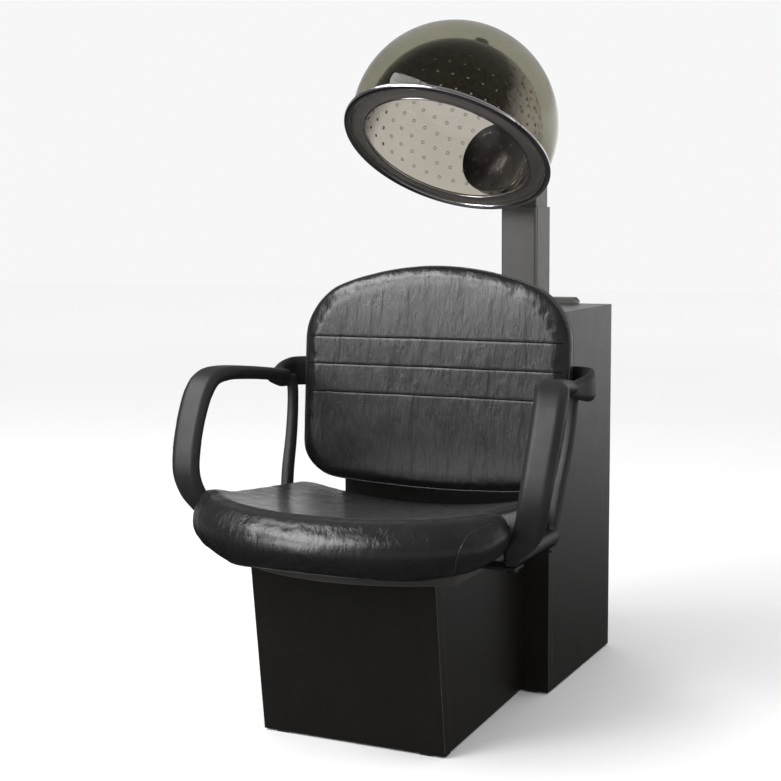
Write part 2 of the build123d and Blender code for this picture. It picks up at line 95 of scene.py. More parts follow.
class Shader:
    """A Principled material with small helpers for procedural inputs."""

    def __init__(self, name, color, roughness, **sockets):
        self.material = bpy.data.materials.new(name)
        self.material.use_nodes = True
        self.tree = self.material.node_tree
        self.bsdf = self.tree.nodes["Principled BSDF"]
        self.set("Base Color", (*color, 1))
        self.set("Roughness", roughness)
        for socket, value in sockets.items():
            self.set(socket.replace("_", " "), value)
        self.coords = self.tree.nodes.new("ShaderNodeTexCoord").outputs["Object"]

    def set(self, socket, value):
        self.bsdf.inputs[socket].default_value = value

    def node(self, kind, **inputs):
        made = self.tree.nodes.new(kind)
        for socket, value in inputs.items():
            target = made.inputs[socket.replace("_", " ")]
            if isinstance(value, bpy.types.NodeSocket):
                self.tree.links.new(value, target)
            else:
                target.default_value = value
        return made

    def stretched(self, x, y, z):
        mapping = self.node("ShaderNodeMapping", Vector=self.coords)
        mapping.inputs["Scale"].default_value = (x, y, z)
        return mapping.outputs["Vector"]

    def noise(self, scale, detail=3.0, rough=0.55, vector=None):
        made = self.node("ShaderNodeTexNoise", Vector=vector or self.coords, Scale=scale, Detail=detail,
                         Roughness=rough)
        return made.outputs["Fac"]

    def cells(self, scale):
        made = self.node("ShaderNodeTexVoronoi", Vector=self.coords, Scale=scale)
        return made.outputs["Distance"]

    def remap(self, value, low, high, start=0.0, end=1.0):
        made = self.node("ShaderNodeMapRange", Value=value)
        for socket, number in zip(("From Min", "From Max", "To Min", "To Max"), (start, end, low, high)):
            made.inputs[socket].default_value = number
        return made.outputs["Result"]

    def blend(self, factor, first, second):
        made = self.tree.nodes.new("ShaderNodeMix")
        made.data_type = "RGBA"
        self.tree.links.new(factor, made.inputs["Factor"])
        for socket, value in (("A", first), ("B", second)):
            target = [s for s in made.inputs if s.name == socket and s.type == "RGBA"][0]
            if isinstance(value, bpy.types.NodeSocket):
                self.tree.links.new(value, target)
            else:
                target.default_value = (*value, 1)
        return [s for s in made.outputs if s.type == "RGBA"][0]

    def color(self, socket):
        self.tree.links.new(socket, self.bsdf.inputs["Base Color"])

    def roughness(self, socket):
        self.tree.links.new(socket, self.bsdf.inputs["Roughness"])

    def edge(self, radius):
        """The rounded normal, and how much a surface point lies on an edge: the mask where edge highlights are
        painted.
        """
        bevel = self.node("ShaderNodeBevel", Radius=radius)
        bevel.samples = 4
        flat = self.tree.nodes.new("ShaderNodeNewGeometry").outputs["Normal"]
        dot = self.tree.nodes.new("ShaderNodeVectorMath")
        dot.operation = "DOT_PRODUCT"
        self.tree.links.new(bevel.outputs["Normal"], dot.inputs[0])
        self.tree.links.new(flat, dot.inputs[1])
        return bevel.outputs["Normal"], self.remap(dot.outputs["Value"], 1.0, 0.0, 0.72, 0.99)

    def bump(self, *layers, normal=None):
        """Height layers as (socket, distance in metres, strength)."""
        for height, distance, strength in layers:
            made = self.node("ShaderNodeBump", Height=height, Distance=distance, Strength=strength)
            if normal is not None:
                self.tree.links.new(normal, made.inputs["Normal"])
            normal = made.outputs["Normal"]
        self.tree.links.new(normal, self.bsdf.inputs["Normal"])


def vinyl():
    s = Shader("upholstery_vinyl", (0.008, 0.008, 0.0085), 0.3, Specular_IOR_Level=0.6, Coat_Weight=0.25,
               Coat_Roughness=0.2)
    mottling = s.noise(7.0, 4.0)
    s.color(s.blend(mottling, (0.005, 0.005, 0.0053), (0.011, 0.011, 0.0115)))
    s.roughness(s.remap(s.noise(22.0, 6.0, 0.65), 0.16, 0.46))
    creases = s.noise(11.0, 4.0, 0.58, s.stretched(3.0, 3.0, 0.7))
    fine = s.noise(44.0, 3.0, 0.55, s.stretched(2.4, 2.4, 0.8))
    s.bump((creases, 0.0045, 0.75), (fine, 0.0011, 0.6), (s.cells(950.0), 0.0003, 0.35),
           (s.noise(420.0, 2.0), 0.0003, 0.25))
    return s.material


def thread():
    s = Shader("seam_welt", (0.02, 0.02, 0.021), 0.3, Specular_IOR_Level=0.6)
    s.color(s.blend(s.noise(300.0), (0.014, 0.014, 0.015), (0.03, 0.03, 0.031)))
    s.bump((s.noise(900.0), 0.0002, 0.3))
    return s.material


def shaded_seam_thread():
    # near black and matte: painted shade along the back's seam grooves, laid as a thin sunk thread
    s = Shader("seam_thread_painted_shade", (0.002, 0.002, 0.002), 0.8, Specular_IOR_Level=0.1)
    s.color(s.blend(s.noise(500.0), (0.0015, 0.0015, 0.0015), (0.004, 0.004, 0.004)))
    s.bump((s.noise(1500.0), 0.0002, 0.4))
    return s.material


def urethane():
    s = Shader("arm_urethane", (0.014, 0.014, 0.014), 0.48, Specular_IOR_Level=0.5)
    _, edge_highlight = s.edge(0.004)
    skin = s.blend(s.noise(14.0, 4.0), (0.008, 0.008, 0.008), (0.018, 0.018, 0.018))
    # painted highlight: the arm's edges are lightened
    s.color(s.blend(s.remap(edge_highlight, 0.0, 0.3), skin, (0.05, 0.05, 0.05)))
    s.roughness(s.remap(s.noise(40.0, 5.0), 0.4, 0.58))
    s.bump((s.noise(60.0, 4.0), 0.0008, 0.25), (s.noise(700.0, 3.0), 0.00025, 0.4))
    return s.material


def laminate():
    s = Shader("black_brown_laminate", (0.009, 0.008, 0.007), 0.3, Specular_IOR_Level=0.5)
    rounded, edge_highlight = s.edge(0.0012)
    grain = s.noise(16.0, 6.0, 0.6, s.stretched(3.0, 3.0, 0.5))
    sheet = s.blend(grain, (0.0062, 0.0056, 0.0048), (0.0108, 0.0098, 0.0084))
    # painted highlight: the laminate's edges are lightened to pale grey
    s.color(s.blend(s.remap(edge_highlight, 0.0, 0.55), sheet, (0.28, 0.27, 0.25)))
    s.roughness(s.remap(s.noise(30.0, 4.0), 0.24, 0.36))
    s.bump((s.noise(260.0, 4.0), 0.0004, 0.16), (s.cells(700.0), 0.0003, 0.15), normal=rounded)
    return s.material


def plain_board():
    s = Shader("plain_board", (0.4, 0.29, 0.17), 0.7)
    rings = s.noise(10.0, 6.0, 0.6, s.stretched(6.0, 1.0, 6.0))
    s.color(s.blend(rings, (0.3, 0.2, 0.11), (0.5, 0.38, 0.24)))
    s.bump((rings, 0.0006, 0.3))
    return s.material


def dark_board():
    s = Shader("seat_board_paint", (0.03, 0.026, 0.022), 0.5)
    rounded, edge_highlight = s.edge(0.0015)
    # lighter edges: partly the board's own edge tone, partly a painted highlight
    s.color(s.blend(s.remap(edge_highlight, 0.0, 0.6), (0.03, 0.026, 0.021), (0.2, 0.17, 0.13)))
    s.bump((s.noise(180.0, 4.0), 0.0004, 0.3), normal=rounded)
    return s.material


def post_paint():
    s = Shader("post_paint", (0.1, 0.098, 0.092), 0.38, Metallic=0.35, Specular_IOR_Level=0.5)
    rounded, edge_highlight = s.edge(0.0022)
    coat = s.blend(s.noise(24.0, 4.0), (0.085, 0.083, 0.078), (0.115, 0.112, 0.105))
    # painted highlight: the post's edges are lightened to pale grey
    s.color(s.blend(s.remap(edge_highlight, 0.0, 0.7), coat, (0.55, 0.55, 0.53)))
    s.roughness(s.remap(s.noise(55.0, 5.0), 0.32, 0.45))
    s.bump((s.noise(800.0, 2.0), 0.0002, 0.3), normal=rounded)
    return s.material


def chrome():
    s = Shader("chrome_bead", (0.86, 0.83, 0.86), 0.2, Metallic=1.0)
    s.color(s.blend(s.noise(30.0, 3.0), (0.8, 0.77, 0.8), (0.92, 0.89, 0.92)))
    s.roughness(s.remap(s.noise(80.0, 5.0), 0.14, 0.26))
    s.bump((s.noise(500.0, 2.0), 0.0001, 0.15))
    return s.material


def zinc():
    s = Shader("zinc_steel", (0.55, 0.55, 0.56), 0.32, Metallic=1.0)
    s.color(s.blend(s.noise(90.0, 4.0), (0.42, 0.42, 0.43), (0.62, 0.62, 0.63)))
    s.roughness(s.remap(s.noise(140.0, 4.0), 0.25, 0.42))
    s.bump((s.noise(600.0, 2.0), 0.0002, 0.2))
    return s.material


def dome_plastic():
    """Smoke-tinted clear plastic of the outer dome."""
    s = Shader("dome_acrylic", (0.5, 0.49, 0.42), 0.04, Transmission_Weight=1.0, IOR=1.26,
               Specular_IOR_Level=0.35)
    s.color(s.blend(s.noise(5.0, 3.0), (0.50, 0.49, 0.42), (0.47, 0.46, 0.39)))
    s.roughness(s.remap(s.noise(60.0, 5.0), 0.02, 0.06))
    s.bump((s.noise(9.0, 2.0), 0.0003, 0.05))
    return s.material


PAINTED_SHADE_FULL, PAINTED_SHADE_GONE = 0.075, 0.01      # distances in front of the hood's centre where the bowl's painted shade is full and where it ends


def bowl_plastic():
    """Clear at the rear and over the blower, darkened towards the front by painted shade."""
    s = Shader("bowl_acrylic", (0.6, 0.57, 0.55), 0.05, Transmission_Weight=1.0, IOR=1.22,
               Specular_IOR_Level=0.25)
    origin, _, back, _ = HOOD
    place = s.tree.nodes.new("ShaderNodeVectorMath")
    place.operation = "DOT_PRODUCT"
    s.tree.links.new(s.coords, place.inputs[0])
    place.inputs[1].default_value = back
    depth = place.outputs["Value"]
    middle = origin.dot(back)
    share = s.remap(depth, 0.0, 1.0, middle - PAINTED_SHADE_FULL, middle - PAINTED_SHADE_GONE)
    clear = s.blend(s.noise(6.0, 3.0), (0.98, 0.93, 0.94), (0.94, 0.89, 0.90))
    # painted shade: towards the front the bowl is coloured near black instead of its clear tint
    s.color(s.blend(share, (0.055, 0.044, 0.035), clear))
    s.roughness(s.remap(s.noise(60.0, 5.0), 0.03, 0.08))
    s.bump((s.noise(9.0, 2.0), 0.0003, 0.05))
    return s.material


def dark_steel():
    s = Shader("black_oxide_steel", (0.03, 0.03, 0.03), 0.45, Metallic=0.8)
    s.color(s.blend(s.noise(120.0, 4.0), (0.02, 0.02, 0.02), (0.05, 0.05, 0.05)))
    s.bump((s.noise(500.0), 0.0002, 0.3))
    return s.material


def gloss_black(name, color, roughness):
    s = Shader(name, color, roughness, Specular_IOR_Level=0.6, Coat_Weight=0.5, Coat_Roughness=0.06)
    s.color(s.blend(s.noise(12.0, 3.0), color, tuple(1.8 * c for c in color)))
    s.roughness(s.remap(s.noise(70.0, 4.0), roughness * 0.6, roughness * 1.5))
    s.bump((s.noise(14.0, 2.0), 0.0004, 0.04))
    return s.material


def moulded(name, color, roughness=0.48):
    s = Shader(name, color, roughness)
    rounded, edge_highlight = s.edge(0.0008)
    body = s.blend(s.noise(30.0, 3.0), color, tuple(1.6 * c for c in color))
    # painted highlight: the moulded edges are lightened to four times the body colour
    s.color(s.blend(s.remap(edge_highlight, 0.0, 0.4), body, tuple(4.0 * c for c in color)))
    s.roughness(s.remap(s.noise(60.0, 4.0), roughness * 0.8, roughness * 1.2))
    s.bump((s.noise(900.0, 2.0), 0.00015, 0.35), normal=rounded)
    return s.material


def hot_wire():
    s = Shader("heater_wire", (0.4, 0.33, 0.29), 0.45, Metallic=1.0)
    s.color(s.blend(s.noise(200.0), (0.3, 0.24, 0.22), (0.5, 0.42, 0.36)))
    wave = s.node("ShaderNodeTexWave", Vector=s.coords, Scale=260.0)
    s.bump((wave.outputs["Fac"], 0.001, 0.8))
    return s.material


def mica():
    s = Shader("heater_mica", (0.55, 0.47, 0.33), 0.35)
    s.color(s.blend(s.noise(60.0, 5.0), (0.42, 0.35, 0.24), (0.65, 0.57, 0.42)))
    s.bump((s.noise(300.0, 3.0), 0.0003, 0.3))
    return s.material


FAR_GLOW, GLOW_START, GLOW_END = 0.088, 4.0, 9.0


def floor_paint():
    """Pale paint that glows very slightly far away, where the floor meets the backdrop."""
    s = Shader("studio_floor", (0.9, 0.9, 0.898), 0.7)
    s.color(s.blend(s.noise(1.2, 3.0), (0.89, 0.89, 0.888), (0.91, 0.91, 0.908)))
    length = s.node("ShaderNodeVectorMath", Vector=s.coords)
    length.operation = "LENGTH"
    glow = s.remap(length.outputs["Value"], 0.0, FAR_GLOW, GLOW_START, GLOW_END)
    s.tree.links.new(glow, s.bsdf.inputs["Emission Strength"])
    s.set("Emission Color", (1, 1, 1, 1))
    return s.material


# ---------------------------------------------------------------- mesh helpers

def mesh_object(name, verts, faces):
    mesh = bpy.data.meshes.new(name)
    mesh.from_pydata([tuple(v) for v in verts], [], faces)
    mesh.update()
    obj = bpy.data.objects.new(name, mesh)
    bpy.context.scene.collection.objects.link(obj)
    for polygon in mesh.polygons:
        polygon.use_smooth = True
    return obj


def get_points(obj):
    points = np.zeros(len(obj.data.vertices) * 3)
    obj.data.vertices.foreach_get("co", points)
    return points.reshape(-1, 3)


def set_points(obj, points):
    obj.data.vertices.foreach_set("co", points.ravel())
    obj.data.update()


def get_normals(obj):
    normals = np.zeros(len(obj.data.vertices) * 3)
    obj.data.vertices.foreach_get("normal", normals)
    return normals.reshape(-1, 3)


def bake_modifiers(obj):
    """Replace the mesh by its evaluated result and drop the modifiers."""
    graph = bpy.context.evaluated_depsgraph_get()
    mesh = bpy.data.meshes.new_from_object(obj.evaluated_get(graph), depsgraph=graph)
    obj.modifiers.clear()
    obj.data = mesh
    for polygon in mesh.polygons:
        polygon.use_smooth = True


def remesh(obj, size):
    modifier = obj.modifiers.new("remesh", "REMESH")
    modifier.mode = "VOXEL"
    modifier.voxel_size = size
    bake_modifiers(obj)


def relax(obj, factor, rounds):
    modifier = obj.modifiers.new("smooth", "SMOOTH")
    modifier.factor = factor
    modifier.iterations = rounds
    bake_modifiers(obj)


def subdivide(obj):
    modifier = obj.modifiers.new("subdivide", "SUBSURF")
    modifier.levels = 1
    modifier.render_levels = 1
    bake_modifiers(obj)


CLOTH_FRAMES, CLOTH_PRESSURE = 20, 3.0
CLOTH_STRETCH, CLOTH_SHEAR, CLOTH_BENDING = 25, 12, 4


def inflate(obj, cap):
    """A short cloth simulation under inner pressure, with each point's motion capped."""
    start = get_points(obj)
    cloth = obj.modifiers.new("cloth", "CLOTH")
    cloth.settings.use_pressure = True
    cloth.settings.uniform_pressure_force = CLOTH_PRESSURE
    cloth.settings.tension_stiffness = CLOTH_STRETCH
    cloth.settings.compression_stiffness = CLOTH_STRETCH
    cloth.settings.shear_stiffness = CLOTH_SHEAR
    cloth.settings.bending_stiffness = CLOTH_BENDING
    cloth.settings.effector_weights.gravity = 0
    cloth.point_cache.frame_start = 1
    cloth.point_cache.frame_end = CLOTH_FRAMES
    scene = bpy.context.scene
    for step in range(1, CLOTH_FRAMES + 1):
        scene.frame_set(step)
    graph = bpy.context.evaluated_depsgraph_get()
    moved = bpy.data.meshes.new_from_object(obj.evaluated_get(graph), depsgraph=graph)
    points = np.zeros(len(moved.vertices) * 3)
    moved.vertices.foreach_get("co", points)
    obj.modifiers.remove(cloth)
    scene.frame_set(1)
    shift = points.reshape(-1, 3) - start
    length = np.linalg.norm(shift, axis=1, keepdims=True)
    set_points(obj, start + shift * np.minimum(1.0, cap / np.maximum(length, 1e-9)))


def rings_object(name, rings):
    """A closed surface through rings of equal length, with the first and last ring shrunk to a point."""
    count = len(rings[0])
    verts = [p for ring in rings for p in ring]
    faces = []
    for k in range(len(rings) - 1):
        for i in range(count):
            j = (i + 1) % count
            faces.append((k * count + i, k * count + j, (k + 1) * count + j, (k + 1) * count + i))
    first = len(verts)
    verts.append(np.mean(rings[0], axis=0))
    last = len(verts)
    verts.append(np.mean(rings[-1], axis=0))
    top = (len(rings) - 1) * count
    for i in range(count):
        j = (i + 1) % count
        faces.append((first, j, i))
        faces.append((last, top + i, top + j))
    return mesh_object(name, verts, faces)


def inward(outline):
    """Unit normals that point into a closed counter-clockwise outline."""
    along = np.roll(outline, -1, axis=0) - np.roll(outline, 1, axis=0)
    along /= np.linalg.norm(along, axis=1, keepdims=True)
    return np.stack([-along[:, 1], along[:, 0]], axis=1)


def pillow(name, outline, levels, crown, place):
    """A cushion from its outline: levels are (inset, height) from underneath to the top edge."""
    normals = inward(outline)
    rings = []
    first_ring = outline + normals * levels[0][0]
    middle = first_ring.mean(axis=0)
    for shrink in (0.3, 0.65, 0.9):
        flat = middle + (first_ring - middle) * shrink
        rings.append([place(x, y, levels[0][1]) for x, y in flat])
    for inset, height in levels:
        ring = outline + normals * inset
        rings.append([place(x, y, height) for x, y in ring])
    last_ring = outline + normals * levels[-1][0]
    for shrink in (0.95, 0.88, 0.78, 0.65, 0.5, 0.33, 0.15):
        flat = middle + (last_ring - middle) * shrink
        height = levels[-1][1] + crown * (1 - shrink**2)
        rings.append([place(x, y, height) for x, y in flat])
    return rings_object(name, rings)


def welt(name, obj, points, radius, closed, lift=0.0):
    """A sewn edge line laid on a finished surface."""
    tree = BVHTree.FromObject(obj, bpy.context.evaluated_depsgraph_get())
    laid = []
    for point in points:
        spot, normal, _, _ = tree.find_nearest(Vector(point))
        laid.append(spot + normal * lift)
    curve = bpy.data.curves.new(name, "CURVE")
    curve.dimensions = "3D"
    curve.bevel_depth = radius
    curve.bevel_resolution = 3
    curve.use_fill_caps = True
    spline = curve.splines.new("NURBS")
    spline.points.add(len(laid) - 1)
    for knot, spot in zip(spline.points, laid):
        knot.co = (*spot, 1)
    spline.order_u = 4
    spline.use_cyclic_u = closed
    spline.use_endpoint_u = not closed
    made = bpy.data.objects.new(name, curve)
    bpy.context.scene.collection.objects.link(made)
    return made


def groove(distance, width, depth):
    return -depth * np.exp(-(distance / width)**2)


# ---------------------------------------------------------------- seat cushion

SEAT_STEPS = 240
SEAT_BOTTOM = seat_low.z + 0.003
SEAT_VOXEL, SEAT_CAP = 0.0045, 0.003
WELT_RADIUS, SEAM_RADIUS, SUNK_RADIUS = 0.0013, 0.0008, 0.0011
SIDE_SEAM_WIDTH, SIDE_SEAM_DEPTH = 0.0022, 0.0024


def mirrored(half_points, count):
    """A closed outline from its right half, front to rear, evenly spaced."""
    right = np.array(half_points)
    left = right[::-1][1:-1] * (-1, 1)
    return even(np.vstack([right, left]), count) + (0, base_y)


def seat_outline():
    """Plan of the seat: a wide bowed roll in front and a narrower body between the arms."""
    roll_half = 0.289
    body_half = 0.246
    front = 0.166
    side_y = -0.012
    turn = 0.036
    corner = 0.03
    rear = 0.288
    points = []
    for a in np.linspace(0, math.pi / 2, 60):
        points.append((roll_half * math.sin(a), side_y - front * math.cos(a)**1.15))
    for a in np.linspace(0, math.pi, 24)[1:]:
        reach = (roll_half - body_half) * (1 + math.cos(a)) / 2
        points.append((body_half + reach, side_y + turn * a / math.pi))
    for y in np.linspace(side_y + turn + 0.008, rear - corner, 30):
        points.append((body_half, y))
    for a in np.linspace(0, math.pi / 2, 14)[1:]:
        points.append((body_half - corner + corner * math.cos(a), rear - corner + corner * math.sin(a)))
    for x in np.linspace(body_half - corner, 0, 26)[1:]:
        points.append((x, rear))
    return mirrored(points, SEAT_STEPS)


def seat_underside():
    """Plan of the seat's bottom edge, tucked in under the roll."""
    knots = [(0, -0.146, 0), (0.08, -0.143, 0), (0.13, -0.132, 0), (0.17, -0.105, 0), (0.195, -0.065, 0),
             (0.209, -0.025, 0), (0.219, 0.025, 0), (0.231, 0.127, 0), (0.240, 0.225, 0), (0.236, 0.272, 0),
             (0.215, 0.282, 0), (0, 0.282, 0)]
    return mirrored([(x, y) for x, y, _ in smooth_line(knots, 160)], SEAT_STEPS)


def even(outline, count):
    """The same closed outline with evenly spaced points."""
    closed = np.vstack([outline, outline[:1]])
    length = np.concatenate([[0], np.cumsum(np.linalg.norm(np.diff(closed, axis=0), axis=1))])
    wanted = np.linspace(0, length[-1], count, endpoint=False)
    return np.stack([np.interp(wanted, length, closed[:, k]) for k in (0, 1)], axis=1)


def seat_top(x, y):
    """Height of the seat's dished top."""
    t = np.clip((y - (base_y - 0.15)) / 0.43, 0, 1)
    across = (x / 0.27)**2
    front = 0.412 + 0.016 * across
    rear = 0.358 + 0.038 * across
    return front + (rear - front) * t**0.9


def build_seat(skin, seam):
    bulge = seat_outline()
    under = seat_underside()
    normals = inward(bulge)
    front = np.clip((base_y + 0.02 - bulge[:, 1]) / 0.09, 0, 1)[:, None]
    rings = []
    middle = under.mean(axis=0)
    for shrink in (0.3, 0.6, 0.85, 0.96):
        rings.append([(x, y, SEAT_BOTTOM) for x, y in middle + (under - middle) * shrink])
    sides = ((0.0, 1.0, 1.0, 0.02), (0.03, 0.80, 0.80, 0.1), (0.10, 0.50, 0.5, 0.25), (0.20, 0.22, 0.25, 0.4),
             (0.32, 0.06, 0.1, 0.55), (0.45, 0.0, 0.03, 0.7))
    for height, roll_tuck, side_tuck, side_height in sides:
        tuck = roll_tuck * front + side_tuck * (1 - front)
        level = height * front + side_height * (1 - front)
        rings.append(seat_ring(bulge + (under - bulge) * tuck, level))
    tops = ((0.60, 0.0025, 0.78, 0.0003), (0.70, 0.0085, 0.84, 0.0008), (0.80, 0.0160, 0.90, 0.002),
            (0.89, 0.0235, 0.945, 0.0042), (0.955, 0.0295, 0.975, 0.0075), (0.99, 0.0350, 0.995, 0.012),
            (1.003, 0.0460, 1.0, 0.020))
    for height, inset, side_height, side_inset in tops:
        level = height * front + side_height * (1 - front)
        rings.append(seat_ring(bulge + normals * (inset * front + side_inset * (1 - front)), level))
    last = bulge + normals * (0.0460 * front + 0.020 * (1 - front))
    centre = last.mean(axis=0)
    for shrink in (0.96, 0.9, 0.8, 0.66, 0.5, 0.33, 0.15):
        rings.append(seat_ring(centre + (last - centre) * shrink, np.ones((SEAT_STEPS, 1))))
    seat = rings_object("seat_cushion_skin", rings)
    remesh(seat, SEAT_VOXEL)
    relax(seat, 0.5, 4)
    inflate(seat, SEAT_CAP)
    subdivide(seat)
    relax(seat, 0.5, 2)
    points = get_points(seat)
    normals = get_normals(seat)
    side = side_seam_distance(points)
    points += normals * groove(side, SIDE_SEAM_WIDTH, SIDE_SEAM_DEPTH)[:, None]
    set_points(seat, points)
    seat.data.materials.append(skin)
    finish_piece(seat, "chair")
    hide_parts("seat_cushion")

    lines = [("seat_bottom_welt", [(x, y, SEAT_BOTTOM + 0.002) for x, y in under[::2]],
              WELT_RADIUS, True)]
    for name, mirror in (("seat_side_welt_left", 1), ("seat_side_welt_right", -1)):
        lines.append((name, [(mirror * x, y, z) for x, y, z in side_seam_points()],
                      SEAM_RADIUS, False))
    for name, spots, radius, closed in lines:
        line = welt(name, seat, spots, radius, closed, 0.0002)
        line.data.materials.append(seam)
        finish_piece(line, "chair")


def seat_ring(plan, level):
    """Points over a plan outline at a share of the height from the bottom to the top."""
    return [(x, y, SEAT_BOTTOM + (seat_top(x, y) - SEAT_BOTTOM) * t[0]) for (x, y), t in zip(plan, level)]


def side_seam_points():
    """The curved seam that joins the front band to the side panel, from the ridge to the bottom."""
    knots = [(0.277, -0.045, 0.418), (0.262, -0.075, 0.412), (0.251, -0.086, 0.402), (0.243, -0.094, 0.384),
             (0.234, -0.099, 0.362), (0.222, -0.088, 0.341), (0.212, -0.070, 0.328)]
    return [(x, base_y + y, z) for x, y, z in smooth_line(knots, 40)]


def side_seam_distance(points):
    seam = np.array(side_seam_points())
    folded = points.copy()
    folded[:, 0] = np.abs(folded[:, 0])
    nearest = np.full(len(points), 1.0)
    close = np.linalg.norm(folded - seam.mean(axis=0), axis=1) < 0.12
    gaps = np.linalg.norm(folded[close][:, None] - seam[None], axis=2).min(axis=1)
    nearest[close] = gaps
    return nearest


def smooth_line(knots, count):
    """Points on a Catmull-Rom curve through the knots."""
    knots = [np.array(k, float) for k in knots]
    knots = [2 * knots[0] - knots[1]] + knots + [2 * knots[-1] - knots[-2]]
    spans = len(knots) - 3
    line = []
    for s in np.linspace(0, spans - 1e-6, count):
        i = int(s)
        t = s - i
        a, b, c, d = knots[i:i + 4]
        line.append(0.5 * (2 * b + (c - a) * t + (2 * a - 5 * b + 4 * c - d) * t**2
                           + (3 * b - a - 3 * c + d) * t**3))
    return line


# ---------------------------------------------------------------- back cushion

BACK_SEAMS = (0.654, 0.603, 0.551)
BACK_HALF = 0.265
BACK_VOXEL, BACK_CAP = 0.0042, 0.0016
BACK_SEAM_WIDTH, BACK_SEAM_DEPTH = 0.0016, 0.0005


def rounded_corner(before, corner, after, steps=14):
    """An arc-like bend between two points about their corner."""
    bend = []
    pull = 0.55
    first = before + (corner - before) * pull
    second = after + (corner - after) * pull
    for t in np.linspace(0, 1, steps):
        u = 1 - t
        bend.append(before * u**3 + first * 3 * u * u * t + second * 3 * u * t * t + after * t**3)
    return bend


def back_outline():
    """The back rest's face: arched top, straight sides, bowed bottom and rounded corners."""
    top, low = back_high.z - 0.0015, back_low.z + 0.0015
    top_bow, low_bow = 0.066, 0.018
    points = []

    def arch(x, high):
        share = (x / BACK_HALF)**2
        return np.array([x, top - top_bow * share if high else low + low_bow * share])

    wide, tall = 0.068, 0.070
    side_low, side_high = low + low_bow + tall - 0.012, top - top_bow - tall
    points += [arch(x, False) for x in np.linspace(0, BACK_HALF - wide, 30)]
    points += rounded_corner(arch(BACK_HALF - wide, False), arch(BACK_HALF, False),
                             np.array([BACK_HALF, side_low]))
    points += [np.array([BACK_HALF, z]) for z in np.linspace(side_low, side_high, 30)[1:-1]]
    points += rounded_corner(np.array([BACK_HALF, side_high]), arch(BACK_HALF, True),
                             arch(BACK_HALF - wide, True))
    points += [arch(x, True) for x in np.linspace(BACK_HALF - wide, 0, 30)[1:]]
    right = np.array(points)
    left = right[::-1][1:-1] * (-1, 1)
    return even(np.vstack([right, left]), 280)


def back_place(x, z, depth):
    """A point in front of the back rest's curved, leaning rear face."""
    wrap = BACK_WRAP - math.sqrt(BACK_WRAP**2 - x * x)
    return (x, back_rear_y + BACK_LEAN * (z - back_low.z) - depth - wrap, z)


def build_back(skin, seam, dark):
    outline = back_outline()
    levels = [(0.016, 0.0105), (0.007, 0.0115), (0.002, 0.0155), (0.0, 0.022), (0.0, 0.0305),
              (0.0025, 0.036), (0.008, 0.0405), (0.017, 0.0440), (0.030, 0.0462)]
    back = pillow("back_cushion_skin", outline, levels, 0.0035, back_place)
    remesh(back, BACK_VOXEL)
    relax(back, 0.5, 4)
    inflate(back, BACK_CAP)
    subdivide(back)
    relax(back, 0.5, 1)
    points = get_points(back)
    normals = get_normals(back)
    front = np.clip(-normals[:, 1] - 0.55, 0, 0.3) / 0.3
    inside = np.clip((BACK_HALF - 0.012 - np.abs(points[:, 0])) / 0.012, 0, 1)
    shift = np.zeros(len(points))
    for z in BACK_SEAMS:
        shift += groove(points[:, 2] - z, BACK_SEAM_WIDTH, BACK_SEAM_DEPTH)
    points += normals * (shift * front * inside)[:, None]
    set_points(back, points)
    back.data.materials.append(skin)
    finish_piece(back, "chair")
    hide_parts("back_cushion")

    edge_normals = inward(outline)
    for name, inset, depth in (("back_front_welt", 0.0012, 0.0335), ("back_rear_welt", 0.002, 0.0150)):
        ring = outline + edge_normals * inset
        spots = [back_place(x, z, depth) for x, z in ring[::2]]
        line = welt(name, back, spots, WELT_RADIUS, True, 0.0003)
        line.data.materials.append(seam)
        finish_piece(line, "chair")
    # dark sunk lines: painted shade along the seams
    for name, z in zip(("back_seam_upper", "back_seam_middle", "back_seam_lower"), BACK_SEAMS):
        spots = [back_place(x, z, 0.048) for x in np.linspace(-BACK_HALF + 0.013, BACK_HALF - 0.011, 60)]
        line = welt(name, back, spots, SUNK_RADIUS, False, -0.0003)
        line.data.materials.append(dark)
        finish_piece(line, "chair")


# ---------------------------------------------------------------- arms

ARM_VOXEL, ARM_ROUNDS = 0.0024, 7
BAND_STEPS, BAND_CHAMFER = 90, 0.3


def band(knots, across):
    """Rings of a bar through knots (point, width, thickness), with chamfered sections."""
    spots = smooth_line([k[0] for k in knots], BAND_STEPS)
    sizes = smooth_line([(k[1], k[2], 0) for k in knots], BAND_STEPS)
    low = 1 - 2 * BAND_CHAMFER
    wide = 1 - 2 * BAND_CHAMFER * 0.6
    corners = [(1, low), (wide, 1), (-wide, 1), (-1, low), (-1, -low), (-wide, -1), (wide, -1), (1, -low)]
    rings = []
    for i, spot in enumerate(spots):
        along = spots[min(i + 1, BAND_STEPS - 1)] - spots[max(i - 1, 0)]
        along /= np.linalg.norm(along)
        side = np.array(across, float)
        side -= along * side.dot(along)
        side /= np.linalg.norm(side)
        rise = np.cross(along, side)
        width, thick = sizes[i][0] / 2, sizes[i][1] / 2
        rings.append([spot + side * u * width + rise * v * thick for u, v in corners])
    return rings


